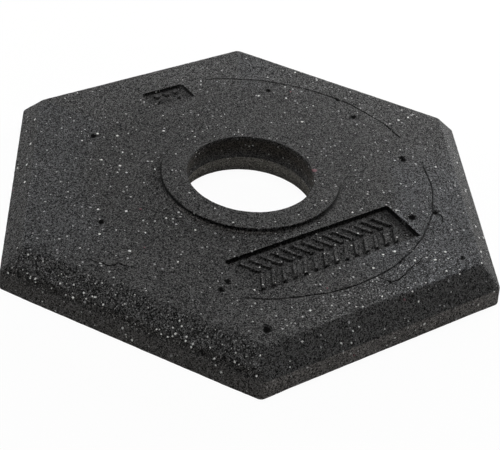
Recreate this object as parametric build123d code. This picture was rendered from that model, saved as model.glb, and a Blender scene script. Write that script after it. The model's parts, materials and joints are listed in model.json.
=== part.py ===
from build123d import *
import math
import os
import random

# Rubber delineator base: a six-sided block of moulded crumb rubber with a bevelled shoulder, a raised
# collar round a stepped bore, two recessed panels, and coloured granules bonded flush into its skin.
# Millimetres, +Z up. The origin is on the bore axis at the ground. Flats face +X and -X, and two of the
# six corners lie on the Y axis.

# Block
ACROSS_FLATS = 420.0
WALL_HEIGHT = 17.5
WALL_DRAFT = 1.3
BEVEL_HEIGHT = 19.0
BEVEL_INSET = 18.0
CORNER_RADIUS = 6.0
FOOT_RADIUS = 1.5
SHOULDER_RADIUS = 2.0
TOP_EDGE_RADIUS = 4.0

# Bore for the post, its flange seat underneath, and the collar round it
BORE_RADIUS = 57.0
BORE_LIP_RADIUS = 1.0
SEAT_STEP = 5.0
SEAT_DEPTH = 17.5
COLLAR_WIDTH = 23.0
COLLAR_RISE = 4.5
COLLAR_EDGE_RADIUS = 1.5

# Recessed panels, their long sides along the front-right side of the block and a little off its middle
PANEL_TURN = 30.0
PANEL_SHIFT = 2.0
LONG_PANEL_LENGTH = 169.0
LONG_PANEL_WIDTH = 47.0
LONG_PANEL_DEPTH = 4.5
LONG_PANEL_GAP = 10.0
LONG_PANEL_CORNER = 1.5
SHORT_PANEL_LENGTH = 46.0
SHORT_PANEL_WIDTH = 24.0
SHORT_PANEL_DEPTH = 3.2
SHORT_PANEL_MARGIN = 31.0
SHORT_PANEL_CORNER = 5.0

# Raised slanting bars that make rows of chevrons on the panel floors
BAR_WIDTH = 4.5
BAR_PITCH = 10.5
BAR_LEAN = 30.0
BAR_RISE = 2.5
BAR_ROW_GAP = 3.0
BAR_MARGIN = 5.5

# Witness line of the mould insert, visible along two arcs, as start and end angles
WITNESS_MARGIN = 25.0
WITNESS_WIDTH = 1.4
WITNESS_DEPTH = 0.8
WITNESS_ANGLES = ((-93.0, 12.0), (25.0, 103.0))

# Surface voids left by trapped air: x, y and radius of each dent
VOIDS = (
    (26.5, 146.0, 2.5),
    (106.0, 105.0, 2.7),
    (144.5, 38.0, 3.5),
    (-140.0, 53.0, 2.6),
    (-128.5, -73.0, 2.8),
    (140.0, -50.5, 3.5),
    (-30.5, -155.5, 2.5),
    (-25.0, -145.0, 2.6),
    (3.5, -200.5, 3.6),
    (175.0, -104.0, 1.8),
    (162.0, -42.0, 2.6),
    (93.5, 134.5, 1.8),
)
VOID_SINK = 0.6

# Granules bonded into the skin, one node a colour
FLECK_RADIUS = 1.05
FLECK_SPREAD = 0.45
FLECK_DEPTH = 1.2
FLECK_CLEAR = 1.5
FLECK_SIDES = range(4, 7)
FLECK_TRIES = {"top": range(150), "bevel": range(9), "wall": range(5)}
FLECK_SEED = 11
FLECK_SHARES = {"white_flecks": 0.61, "grey_flecks": 0.35, "red_flecks": 0.04}

SIDES = 6
SIDE_TURN = 360.0 / SIDES
SAME_HEIGHT = 0.01

TOP_Z = WALL_HEIGHT + BEVEL_HEIGHT
COLLAR_Z = TOP_Z + COLLAR_RISE
SHOULDER_FLATS = ACROSS_FLATS - 2 * WALL_DRAFT
TOP_FLATS = SHOULDER_FLATS - 2 * BEVEL_INSET
COLLAR_RADIUS = BORE_RADIUS + COLLAR_WIDTH
SEAT_RADIUS = BORE_RADIUS + SEAT_STEP
WITNESS_RADIUS = TOP_FLATS / 2 - WITNESS_MARGIN
LONG_PANEL_OFFSET = -(COLLAR_RADIUS + LONG_PANEL_GAP + LONG_PANEL_WIDTH / 2)
SHORT_PANEL_OFFSET = TOP_FLATS / 2 - SHORT_PANEL_MARGIN - SHORT_PANEL_WIDTH / 2
WALL_LEAN = math.atan2(WALL_DRAFT, WALL_HEIGHT)
BEVEL_SLOPE = math.atan2(BEVEL_HEIGHT, BEVEL_INSET)
BEVEL_LENGTH = math.hypot(BEVEL_HEIGHT, BEVEL_INSET)
TOP_EDGE_REACH = TOP_EDGE_RADIUS * math.tan(BEVEL_SLOPE / 2)
SHOULDER_REACH = SHOULDER_RADIUS * math.tan((math.pi / 2 - WALL_LEAN - BEVEL_SLOPE) / 2)
FLECK_REACH = FLECK_RADIUS + FLECK_SPREAD


def hexagon(across_flats, z):
    """Six-sided outline with rounded corners, at height z."""
    outline = RegularPolygon(across_flats / 2, SIDES, major_radius=False, rotation=SIDE_TURN / 2)
    return Pos(0, 0, z) * fillet(outline.vertices(), CORNER_RADIUS)


def edges_at(shape, z):
    """Edges of a shape that lie in the plane at height z."""
    return shape.edges().filter_by_position(Axis.Z, z - SAME_HEIGHT, z + SAME_HEIGHT)


def block():
    """Walls with a moulding draft and the bevel above them, with the foot, shoulder and top edges rounded."""
    walls = loft([hexagon(ACROSS_FLATS, 0), hexagon(SHOULDER_FLATS, WALL_HEIGHT)], ruled=True)
    bevel = loft([hexagon(SHOULDER_FLATS, WALL_HEIGHT), hexagon(TOP_FLATS, TOP_Z)], ruled=True)
    solid = walls + bevel
    solid = fillet(edges_at(solid, TOP_Z), TOP_EDGE_RADIUS)
    solid = fillet(edges_at(solid, WALL_HEIGHT), SHOULDER_RADIUS)
    return fillet(edges_at(solid, 0), FOOT_RADIUS)


def collar():
    """Raised ring round the bore, rooted a little way into the block."""
    ring = Pos(0, 0, COLLAR_Z) * Cylinder(
        COLLAR_RADIUS, 2 * COLLAR_RISE, align=(Align.CENTER, Align.CENTER, Align.MAX)
    )
    return fillet(edges_at(ring, COLLAR_Z), COLLAR_EDGE_RADIUS)


def panel_place(offset):
    """Place on the top face, offset from the axis, turned and shifted with the panels."""
    return Rot(0, 0, PANEL_TURN) * Pos(PANEL_SHIFT, offset, TOP_Z)


def chevron_bars(length, width):
    """Two mirrored rows of slanting bars that fill a panel floor, drawn at the height of the floor."""
    row_height = (width - 2 * BAR_MARGIN - BAR_ROW_GAP) / 2
    lean = row_height * math.tan(math.radians(BAR_LEAN))
    count = int((length - 2 * BAR_MARGIN - BAR_WIDTH - lean) // BAR_PITCH) + 1
    start = -((count - 1) * BAR_PITCH + BAR_WIDTH + lean) / 2
    bars = []
    for index in range(count):
        left = start + index * BAR_PITCH
        for side in (1, -1):
            inner = side * BAR_ROW_GAP / 2
            outer = inner + side * row_height
            bar = make_face(
                Polyline(
                    (left + lean, inner),
                    (left + lean + BAR_WIDTH, inner),
                    (left + BAR_WIDTH, outer),
                    (left, outer),
                    close=True,
                )
            )
            bars.append(extrude(bar, BAR_RISE, dir=(0, 0, 1)))
    return bars


def panel(length, width, depth, corner, offset):
    """Recess with its two far corners rounded, and the bars on its floor."""
    outline = Rectangle(length, width)
    outline = fillet(outline.vertices().group_by(Axis.Y)[-1], corner)
    recess = panel_place(offset) * extrude(outline, -depth)
    floor = panel_place(offset) * Pos(0, 0, -depth)
    return recess, [floor * bar for bar in chevron_bars(length, width)]


def witness_arcs():
    """Shallow groove left by the edge of the mould insert, broken into arcs."""
    section = Plane.XZ * Pos(WITNESS_RADIUS, TOP_Z) * Rectangle(WITNESS_WIDTH, 2 * WITNESS_DEPTH)
    grooves = []
    for start, end in WITNESS_ANGLES:
        groove = revolve(section, Axis.Z, revolution_arc=end - start)
        grooves.append(Rot(0, 0, start) * groove)
    return grooves


def voids():
    """Spheres whose undersides dent the top face."""
    return [Pos(x, y, TOP_Z + VOID_SINK) * Sphere(radius) for x, y, radius in VOIDS]


def bore():
    """Through bore with a wider seat for the post's flange underneath."""
    hole = Cylinder(BORE_RADIUS, COLLAR_Z, align=(Align.CENTER, Align.CENTER, Align.MIN))
    seat = Cylinder(SEAT_RADIUS, SEAT_DEPTH, align=(Align.CENTER, Align.CENTER, Align.MIN))
    return hole + seat


def body():
    """The whole moulding, with no pockets for the granules yet."""
    long_recess, long_bars = panel(
        LONG_PANEL_LENGTH, LONG_PANEL_WIDTH, LONG_PANEL_DEPTH, LONG_PANEL_CORNER, LONG_PANEL_OFFSET
    )
    short_recess, short_bars = panel(
        SHORT_PANEL_LENGTH, SHORT_PANEL_WIDTH, SHORT_PANEL_DEPTH, SHORT_PANEL_CORNER, SHORT_PANEL_OFFSET
    )
    solid = block() + collar() - bore()
    lip = edges_at(solid, COLLAR_Z).sort_by(SortBy.RADIUS)[0]
    solid = fillet(lip, BORE_LIP_RADIUS)
    solid = solid - [long_recess, short_recess, *witness_arcs(), *voids()]
    return solid + [*long_bars, *short_bars]


def in_panel(x, y, length, width, offset, reach):
    """Whether a point of the top face lies in a panel or within reach of it."""
    turn = math.radians(PANEL_TURN)
    along = x * math.cos(turn) + y * math.sin(turn) - PANEL_SHIFT
    across = y * math.cos(turn) - x * math.sin(turn) - offset
    return abs(along) < length / 2 + reach and abs(across) < width / 2 + reach


def top_is_clear(x, y):
    """Whether a granule at this point of the top face misses every edge, line, panel and void there."""
    reach = FLECK_REACH + FLECK_CLEAR
    radius = math.hypot(x, y)
    normals = [math.radians(SIDE_TURN * side) for side in range(SIDES)]
    outward = max(x * math.cos(normal) + y * math.sin(normal) for normal in normals)
    if outward > TOP_FLATS / 2 - TOP_EDGE_REACH - reach or radius < COLLAR_RADIUS + reach:
        return False
    if abs(radius - WITNESS_RADIUS) < WITNESS_WIDTH / 2 + reach:
        return False
    if in_panel(x, y, LONG_PANEL_LENGTH, LONG_PANEL_WIDTH, LONG_PANEL_OFFSET, reach):
        return False
    if in_panel(x, y, SHORT_PANEL_LENGTH, SHORT_PANEL_WIDTH, SHORT_PANEL_OFFSET, reach):
        return False
    return all(math.hypot(x - vx, y - vy) > size + reach for vx, vy, size in VOIDS)


def side_place(side, along, out, z, tilt):
    """Plane on one side of the block, with its normal tilted up from level by an angle."""
    turn = math.radians(SIDE_TURN * side)
    outward = Vector(math.cos(turn), math.sin(turn), 0)
    sideways = Vector(-math.sin(turn), math.cos(turn), 0)
    normal = outward * math.cos(tilt) + Vector(0, 0, 1) * math.sin(tilt)
    return Plane(outward * out + sideways * along + Vector(0, 0, z), x_dir=sideways, z_dir=normal)


def top_place(draw, side):
    """Random place on the whole top face, or None where a granule would cross something there."""
    corner = TOP_FLATS / 2 / math.cos(math.pi / SIDES)
    radius = math.sqrt(draw.random()) * corner
    angle = draw.random() * 2 * math.pi
    x = radius * math.cos(angle)
    y = radius * math.sin(angle)
    return Plane((x, y, TOP_Z)) if top_is_clear(x, y) else None


def along_side(draw):
    """Random distance from the middle of a side, short of its corners."""
    half_side = TOP_FLATS / 2 * math.tan(math.pi / SIDES) - CORNER_RADIUS
    return (2 * draw.random() - 1) * (half_side - FLECK_REACH - FLECK_CLEAR)


def bevel_place(draw, side):
    """Random place on one bevel, between the roundings of its shoulder and of the top edge."""
    low = SHOULDER_REACH + FLECK_REACH
    high = BEVEL_LENGTH - TOP_EDGE_REACH - FLECK_REACH
    along = along_side(draw)
    climb = low + draw.random() * (high - low)
    out = SHOULDER_FLATS / 2 - climb * math.cos(BEVEL_SLOPE)
    z = WALL_HEIGHT + climb * math.sin(BEVEL_SLOPE)
    return side_place(side, along, out, z, math.pi / 2 - BEVEL_SLOPE)


def wall_place(draw, side):
    """Random place on one wall, between the roundings of its foot and of its shoulder."""
    low = FOOT_RADIUS + FLECK_REACH
    high = WALL_HEIGHT - SHOULDER_REACH - FLECK_REACH
    along = along_side(draw)
    z = low + draw.random() * (high - low)
    return side_place(side, along, ACROSS_FLATS / 2 - z * math.tan(WALL_LEAN), z, WALL_LEAN)


def fleck(place, draw):
    """One granule: an irregular many-sided chip, its face flush with the skin."""
    corners = draw.choice(FLECK_SIDES)
    first = draw.random() * 2 * math.pi
    points = []
    for corner in range(corners):
        angle = first + 2 * math.pi * corner / corners
        radius = FLECK_RADIUS + (2 * draw.random() - 1) * FLECK_SPREAD
        points.append((radius * math.cos(angle), radius * math.sin(angle)))
    return extrude(place * make_face(Polyline(*points, close=True)), -FLECK_DEPTH)


def flecks():
    """Granules sorted by colour. Each is drawn by itself, so one that finds no room moves no other."""
    tries = [(top_place, 0) for _ in FLECK_TRIES["top"]]
    for side in range(SIDES):
        tries += [(bevel_place, side) for _ in FLECK_TRIES["bevel"]]
        tries += [(wall_place, side) for _ in FLECK_TRIES["wall"]]
    groups = {colour: [] for colour in FLECK_SHARES}
    taken = []
    for number, (find_place, side) in enumerate(tries):
        draw = random.Random(FLECK_SEED + number)
        place = find_place(draw, side)
        if place is None:
            continue
        if any((place.origin - other).length < 2 * FLECK_REACH + FLECK_CLEAR for other in taken):
            continue
        taken.append(place.origin)
        colour = draw.choices(list(FLECK_SHARES), list(FLECK_SHARES.values()))[0]
        groups[colour].append(fleck(place, draw))
    return groups


os.makedirs("parts", exist_ok=True)
granules = flecks()
rubber_base = body() - [chip for group in granules.values() for chip in group]
export_step(rubber_base, "parts/rubber_base.step")
for node, group in granules.items():
    export_step(Compound(children=group), f"parts/{node}.step")
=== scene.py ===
import json
import math

import bpy
import numpy as np
from bpy.props import FloatProperty, FloatVectorProperty, PointerProperty
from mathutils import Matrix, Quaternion, Vector


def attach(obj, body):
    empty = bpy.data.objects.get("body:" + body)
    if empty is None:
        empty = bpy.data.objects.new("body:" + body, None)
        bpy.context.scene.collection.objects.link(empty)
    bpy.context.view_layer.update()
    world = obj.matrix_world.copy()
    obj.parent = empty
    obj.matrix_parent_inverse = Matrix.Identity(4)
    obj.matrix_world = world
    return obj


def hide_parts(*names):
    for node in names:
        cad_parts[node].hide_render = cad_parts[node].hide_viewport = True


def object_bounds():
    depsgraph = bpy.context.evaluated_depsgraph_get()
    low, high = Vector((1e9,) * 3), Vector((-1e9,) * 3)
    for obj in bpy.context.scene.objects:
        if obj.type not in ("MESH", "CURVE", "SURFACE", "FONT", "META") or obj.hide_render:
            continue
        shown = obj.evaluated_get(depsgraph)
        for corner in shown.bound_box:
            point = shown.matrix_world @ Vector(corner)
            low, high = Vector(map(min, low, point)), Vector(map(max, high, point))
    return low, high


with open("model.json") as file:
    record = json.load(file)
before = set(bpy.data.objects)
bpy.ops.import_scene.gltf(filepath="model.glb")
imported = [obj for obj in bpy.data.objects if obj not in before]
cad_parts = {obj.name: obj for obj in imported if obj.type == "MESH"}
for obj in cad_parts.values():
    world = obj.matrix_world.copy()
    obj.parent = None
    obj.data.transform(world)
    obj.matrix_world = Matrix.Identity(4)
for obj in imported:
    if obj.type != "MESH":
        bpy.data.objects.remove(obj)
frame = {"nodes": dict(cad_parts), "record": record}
CAD_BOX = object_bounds()

bl_info = {
    "name": "Rubber Delineator Base",
    "version": (1, 0, 0),
    "blender": (4, 5, 0),
    "location": "View3D > Sidebar > Delineator",
    "description": "Builds a six-sided base of moulded crumb rubber, its granules and a studio stage",
    "category": "Add Mesh",
}

# Metres, +Z up, the origin on the bore axis at the ground. Flats face +X and -X.
MM = 0.001
BODY = "root"
LOW, HIGH = CAD_BOX
BORES = {m["name"]: m["dims"] for m in frame["record"]["mounts"] if m["kind"] == "bore"}

# Both panels run along one direction, and the long one lies out from the axis a quarter turn clockwise of it.
# Turns round the block, and its sides, are counted from there, so side 0 is the front-right one.
PANEL_ALONG = math.radians(30)
LONG_PANEL_OUT = PANEL_ALONG - math.pi / 2
ALONG_AXIS = np.array([math.cos(PANEL_ALONG), math.sin(PANEL_ALONG)])
OUT_AXIS = np.array([math.cos(LONG_PANEL_OUT), math.sin(LONG_PANEL_OUT)])
SIDES = 6
SIDE_TURN = 2 * math.pi / SIDES
FRONT_RIGHT, RIGHT, BACK_LEFT, LEFT, FRONT_LEFT = 0, 1, 3, 4, 5

# Dents left by trapped air: x, y and radius of each
VOIDS = MM * np.array([
    (26.5, 146, 2.5), (106, 105, 2.7), (144.5, 38, 3.5), (-140, 53, 2.6),
    (-128.5, -73, 2.8), (140, -50.5, 3.5), (-30.5, -155.5, 2.5), (-25, -145, 2.6),
    (3.5, -200.5, 3.6), (175, -104, 1.8), (162, -42, 2.6), (93.5, 134.5, 1.8),
])

# The height of the dents' rims, and how much of a place's distance from a dent counts along each axis in the
# pits' painted shade
VOID_LEVEL = 36.5 * MM
PIT_SCALE = (1.0, 0.72, 0.25)

# Thin lines of flash and a crack in the skin, as points on the top face in millimetres
FLASH_LINES = {
    "flash_line": (
        (98, -133), (102, -134), (107, -138), (110, -138), (113, -137), (118, -133), (123, -127),
        (127, -121), (129, -119), (134, -114), (138, -110), (140, -106), (143, -103),
    ),
    "flash_stub": ((119, -112.6), (122, -110.5), (124.8, -109), (124, -112)),
    "flash_curl": ((163, -44), (166, -45.3), (167, -49), (166.8, -53), (165.2, -57.5)),
    "skin_crack": (
        (-135, -123), (-131, -126), (-125, -127), (-121, -130),
        (-116, -129), (-112, -127), (-107, -130), (-99, -131),
    ),
}

# A large red granule in the collar: x, y, length and width
RED_CHIP = MM * np.array([59.1, 7.6, 5.8, 6.2])

# Softboxes: bearing from +X and height above the floor, in degrees, distance from the origin, width and power
SOFTBOXES = {
    "overhead": (90, 88, 2.2, 1.2, 28.5),
    "back_low": (70, 15, 1.0, 0.6, 5.0),
    "back_right_low": (40, 15, 1.0, 0.6, 8.0),
    "left_back_low": (150, 15, 1.0, 0.6, 4.2),
    "front_left": (225, 65, 2.2, 1.2, 2.6),
}


def setting(kind, **options):
    """A function that makes one kind of setting from its name, description and default."""

    def make(name, description, default):
        return kind(name=name, description=description, default=default, **options)

    return make


# Lengths, shares of a whole, angles, focal lengths, colours in linear light, factors of a colour, and points
size = setting(FloatProperty, min=0.0, unit="LENGTH", precision=5)
share = setting(FloatProperty, min=0.0, max=1.0, subtype="FACTOR")
angle = setting(FloatProperty, subtype="ANGLE")
lens = setting(FloatProperty, subtype="DISTANCE_CAMERA")
colour = setting(FloatVectorProperty, min=0.0, max=1.0, subtype="COLOR")
tint = setting(FloatVectorProperty, min=0.0, soft_max=4.0)
place = setting(FloatVectorProperty, subtype="TRANSLATION")


class BlockSizes(bpy.types.PropertyGroup):
    """Sizes of the moulded block, its bore and its collar"""

    across_flats: size("Across Flats", "Width of the foot between opposite sides", HIGH.x - LOW.x)
    collar_height: size("Collar Height", "Height of the collar above the ground", HIGH.z)
    wall_height: size("Wall Height", "Height of the sides below the bevel", 17.5 * MM)
    wall_draft: size("Wall Draft", "Run of the sides towards the axis over their height", 1.3 * MM)
    bevel_height: size("Bevel Height", "Rise of the bevel above the sides", 19 * MM)
    bevel_inset: size("Bevel Inset", "Run of the bevel towards the axis", 18 * MM)
    corner_radius: size("Corner Radius", "Rounding of the six corners", 6 * MM)
    foot_radius: size("Foot Radius", "Rounding of the bottom edge", 1.5 * MM)
    sharp_foot: size("Sharp Foot", "Rounding of the bottom edge on the front-left side", 0.3 * MM)
    worn_foot: size("Worn Foot", "Rounding of the bottom edge on the front-right side", 2.2 * MM)
    shoulder_radius: size("Shoulder Radius", "Rounding where the bevel meets the sides", 2 * MM)
    soft_edge: size("Soft Top Edge", "Rounding of the top edge on the worn front-left side", 10 * MM)
    crisp_edge: size("Crisp Top Edge", "Rounding of the top edge on the front-right side", 2 * MM)
    top_edge: size("Top Edge", "Rounding of the top edge on the other sides", 4 * MM)
    bore_radius: size("Bore Radius", "Radius of the bore for the post", BORES["post_bore"]["r_mm"] * MM)
    bore_lip: size("Bore Lip", "Rounding of the bore's upper edge", 0.7 * MM)
    seat_radius: size("Seat Radius", "Radius of the flange seat", BORES["flange_seat"]["r_mm"] * MM)
    seat_depth: size("Seat Depth", "Height of the flange seat", BORES["flange_seat"]["length_mm"] * MM)
    seat_edge: size("Seat Edge", "Rounding of the seat's ledge", 0.8 * MM)
    seat_foot: size("Seat Foot", "Rounding of the seat's edge at the ground", 0.2 * MM)
    collar_width: size("Collar Width", "Width of the collar round the bore", 23 * MM)
    collar_shift: size("Collar Shift", "How far the collar and the seat lie off the axis", 0.8 * MM)
    bore_shift: size("Bore Shift", "How far the bore lies off the axis", 1 * MM)
    collar_edge: size("Collar Edge", "Rounding of the collar's outer edge", 0.6 * MM)
    collar_worn: size("Worn Collar Edge", "Rounding of the collar's outer edge at the front left", 1.8 * MM)
    collar_root: size("Collar Root", "Hollow rounding where the collar meets the top", 1.5 * MM)
    witness_margin: size("Witness Margin", "Distance of the insert's line from the top edge", 26.2 * MM)
    witness_width: size("Witness Width", "Width of the insert's line", 1.5 * MM)
    witness_depth: size("Witness Depth", "Depth of the insert's line", 0.9 * MM)


class PanelSizes(bpy.types.PropertyGroup):
    """Sizes of the two recessed panels and of the bars on their floors"""

    shift: size("Panel Shift", "How far the panels lie off the middle of their side", 2 * MM)
    long_length: size("Long Panel Length", "Length of the panel at the front", 169 * MM)
    long_width: size("Long Panel Width", "Width of the panel at the front", 47 * MM)
    long_depth: size("Long Panel Depth", "Depth of the panel at the front", 4.5 * MM)
    long_gap: size("Long Panel Gap", "Distance of the long panel from the collar", 10 * MM)
    long_corner: size("Long Panel Corner", "Rounding of the long panel's inner corners", 1.5 * MM)
    short_length: size("Short Panel Length", "Length of the panel at the back", 46 * MM)
    short_width: size("Short Panel Width", "Width of the panel at the back", 24 * MM)
    short_depth: size("Short Panel Depth", "Depth of the panel at the back", 3.2 * MM)
    short_margin: size("Short Panel Margin", "Distance of the short panel from the top edge", 31.6 * MM)
    short_corner: size("Short Panel Corner", "Rounding of the short panel's outer corners", 5 * MM)
    bar_width: size("Bar Width", "Width of a raised bar", 4.5 * MM)
    bar_pitch: size("Bar Pitch", "Distance from one bar to the next", 10.5 * MM)
    bar_rise: size("Bar Rise", "Height of a bar above the panel's floor", 2.5 * MM)
    bar_row_gap: size("Bar Row Gap", "Gap between the two rows of bars", 3 * MM)
    bar_margin: size("Bar Margin", "Gap between the bars and the panel's walls", 5.5 * MM)
    bar_lean: angle("Bar Lean", "Slant of the bars", math.radians(30))
    draft: size("Draft", "Run of a panel's wall, or of a bar's side, over its height", 0.7 * MM)


class SkinSizes(bpy.types.PropertyGroup):
    """Sizes of the moulded skin's unevenness, grain, flash and specks"""

    inset: size("Inset", "Least depth of the skin below the true shape", 0.04 * MM)
    wave_height: size("Wave Height", "Height of the broad unevenness", 0.16 * MM)
    wave_length: size("Wave Length", "Spacing of the broad unevenness", 45 * MM)
    crumb_height: size("Crumb Height", "Height of the coarse crumbs in the mesh", 0.22 * MM)
    crumb_length: size("Crumb Length", "Spacing of the coarse crumbs in the mesh", 3.2 * MM)
    column_step: angle("Column Step", "Largest turn between columns of the mesh", math.radians(0.72))
    crumb_size: size("Crumb Size", "Size of a rubber crumb in the grain", 0.85 * MM)
    grain_height: size("Grain Height", "Height of the grain", 0.5 * MM)
    flash_width: size("Flash Width", "Width of a line of flash", 1.5 * MM)
    flash_height: size("Flash Height", "Height of a line of flash", 0.36 * MM)
    chip_depth: size("Chip Depth", "Depth of a large granule in the skin", 1.2 * MM)
    speck_size: size("Speck Size", "Size of the fine pale specks", 0.98 * MM)
    speck_spacing: size("Speck Spacing", "Spacing of the fine pale specks", 3.6 * MM)


class FinishColours(bpy.types.PropertyGroup):
    """Colours of the rubber and of the granules, and tints of dust, grime, painted light and painted shade"""

    crumb_dark: colour("Dark Crumb", "Darkest crumbs", (0.002, 0.002, 0.002))
    crumb_light: colour("Light Crumb", "Palest crumbs of the black rubber", (0.131, 0.13, 0.129))
    # Dust and painted bounce light make the walls paler; the same tint is painted light on the collar's
    # fillet
    wall_dust_and_light: tint("Wall Dust and Light", "How much paler dust makes the walls", (2.75, 2.62, 2.52))
    # The flange seat is painted paler, less so at its foot, where that is painted shade
    seat_paleness: tint("Seat Paleness", "How much paler dust makes the flange seat", (4.0, 3.85, 3.5))
    bore_soot: tint("Bore Soot", "How much darker and browner the upper bore is", (0.80, 0.72, 0.62))
    # Grime and painted shade on the collar's wall, on the panels' walls and in the insert's line
    grime_and_shade: tint("Grime", "How much darker grime makes steep walls and narrow lines", (0.3, 0.3, 0.3))
    # Painted shade round the feet of the bars
    bar_shade: tint("Bar Shade", "How much darker grime makes the feet of the bars", (0.35, 0.35, 0.35))
    # Painted shade on the lines of flash, which darkens them like shaded cracks
    flash_shade: tint("Flash Shade", "How much darker the lines of flash are", (0.12, 0.12, 0.12))
    # Painted shade over the whole flat top and the collar
    top_shade: tint("Top Shade", "How much darker the trodden top is", (0.91, 0.91, 0.91))
    # Grime and painted shade above the front-left shoulder, and a painted shadow at the collar's root
    shoulder_grime_and_shade: tint("Shoulder Grime and Shade", "How much darker the front-left shoulder is", (0.62, 0.6, 0.58))
    # Painted light on the top towards its edge, on the bevels and at the back-left end
    rim_light: tint("Rim Light", "How much paler the top is towards its edge", (1.14, 1.14, 1.14))
    # A cooler painted sheen at the top's two ends
    end_sheen: tint("End Sheen", "How much paler and cooler the top's two ends are", (1.115, 1.14, 1.185))
    # A painted highlight along the front-right top edge
    ridge_highlight: tint("Ridge Highlight", "How much paler the worn front-right edge is", (1.25, 1.25, 1.25))
    # A painted highlight beside the long panel's right end, and painted light on the top before the collar
    lip_and_apron_light: tint("Lip and Apron Light", "How much paler worn edges beside the panel and collar are", (1.5, 1.5, 1.5))
    white: colour("White Granule", "White granules", (0.88, 0.88, 0.86))
    grey: colour("Grey Granule", "Pale grey granules", (0.30, 0.30, 0.30))
    red: colour("Red Granule", "Reddish granules", (0.16, 0.06, 0.074))


class StageSettings(bpy.types.PropertyGroup):
    """The camera and the floor"""

    camera_place: place("Camera Place", "Where the camera stands", (-0.11068, -0.95426, 0.72200))
    camera_aim: place("Camera Aim", "Point on the floor that the camera looks at", (0.00284, -0.02325, 0.0))
    camera_roll: angle("Camera Roll", "Turn about the view axis", math.radians(6.441))
    camera_lens: lens("Camera Lens", "Focal length", 95.46)
    floor: colour("Floor", "Pale paper under the object", (0.86, 0.86, 0.85))
    floor_width: size("Floor Width", "Width of the floor", 12.0)
    floor_white: share("Floor White", "Share of plain white in what the camera sees of the floor", 0.955)


def smooth(part):
    """Smooth step of a share: 3t^2 - 2t^3, flat at 0 and at 1."""
    part = np.clip(part, 0.0, 1.0)
    return part * part * (3.0 - 2.0 * part)


def ramp(values, start, end):
    """A smooth step from 0 at a start to 1 at an end, which may lie on either side of it."""
    return smooth((values - start) / (end - start))


def window(values, low, high, fade):
    """1 where values lie between two limits, fading to 0 outside them."""
    return smooth(np.minimum(values - low, high - values) / fade + 1.0)


def wrapped(turn, whole=2 * math.pi):
    """A turn brought to between minus half and half of a whole one."""
    return (turn + whole / 2) % whole - whole / 2


def facing(bearing, middle, reach, fade):
    """1 near a middle direction, falling to 0 at its reach to either side, over a fade, all in degrees."""
    off = np.abs(wrapped(bearing - math.radians(middle)))
    return ramp(off, math.radians(reach), math.radians(reach - fade))


def around(radius, turn, height):
    """Places at a distance from the axis, a turn round it and a height."""
    return np.stack(np.broadcast_arrays(radius * np.cos(turn), radius * np.sin(turn), height), axis=-1)


def between(start, end, count, eased=False):
    """Rows between two rows, without the two: evenly spaced, or closer together towards both ends."""
    parts = np.linspace(0.0, 1.0, count + 2)[1:-1].reshape(-1, 1, 1)
    return start + (smooth(parts) if eased else parts) * (end - start)


def unit(vectors):
    """Vectors shortened to length 1."""
    return vectors / np.linalg.norm(vectors, axis=-1, keepdims=True)


def rounded_corner(before, corner, after, radius, count):
    """Rows over a rounded corner of a section, kept as distance from the axis and height.

    The arc touches the runs to the corners before and after. Its centre lies on their bisector, at the radius
    over the sine of half the angle between them. Its points turn evenly from one touching point to the other.
    """
    back, onward = unit(before - corner), unit(after - corner)
    half = np.arccos(np.sum(back * onward, axis=-1, keepdims=True)) / 2
    centre = corner + unit(back + onward) * radius / np.sin(half)
    start = corner + back * radius / np.tan(half) - centre
    end = corner + onward * radius / np.tan(half) - centre
    sweep = math.pi - 2 * half
    part = np.linspace(0.0, 1.0, count).reshape(-1, 1, 1)
    return centre + (np.sin((1.0 - part) * sweep) * start + np.sin(part * sweep) * end) / np.sin(sweep)


def rounded_section(corners, columns, roundings, runs):
    """Rows along a section through corners: arcs at the inner ones, with rows on the runs between.

    The corners hold for all columns, or for each. A rounding is its radius and its rows, a run is its rows.
    """
    corners = np.broadcast_to(corners, (len(corners), columns, 2))
    rows = corners[:1]
    for index, (radius, count) in enumerate(roundings):
        turn = rounded_corner(*corners[index : index + 3], radius, count)
        rows = np.concatenate([rows, between(rows[-1], turn[0], runs[index], True), turn])
    return np.concatenate([rows, between(rows[-1], corners[-1], runs[-1], True), corners[-1:]])


def lattice_noise(points, cell, seed):
    """Random values from -1 to 1 on a lattice, blended by smooth steps between the eight round a point."""
    count = 24
    lattice = np.random.default_rng(seed).uniform(-1.0, 1.0, (count, count, count))
    spot = points / cell
    corner = np.floor(spot).astype(int)
    part = smooth(spot - corner)
    total = np.zeros(points.shape[:-1])
    for step in np.ndindex(2, 2, 2):
        at = (corner + step) % count
        weight = np.prod(np.where(step, part, 1.0 - part), axis=-1)
        total += weight * lattice[at[..., 0], at[..., 1], at[..., 2]]
    return total


def mesh_piece(name, points, faces, material, crease=None):
    """A new object from arrays of corners and faces, shaded smooth, or crisp at edges steeper than crease."""
    mesh = bpy.data.meshes.new(name)
    mesh.from_pydata(np.reshape(points, (-1, 3)), [], faces)
    mesh.polygons.foreach_set("use_smooth", np.ones(len(faces), dtype=bool))
    if crease is not None:
        mesh.set_sharp_from_angle(angle=crease)
    mesh.materials.append(material)
    piece = bpy.data.objects.new(name, mesh)
    bpy.context.scene.collection.objects.link(piece)
    return piece


def closed_quads(rows, columns):
    """Faces of a grid that closes on itself both ways, turned outwards."""
    index = np.arange(rows * columns).reshape(rows, columns)
    below = np.roll(index, -1, axis=0)
    beside, across = np.roll(index, -1, axis=1), np.roll(below, -1, axis=1)
    return np.stack([index, below, across, beside], axis=-1).reshape(-1, 4)


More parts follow.
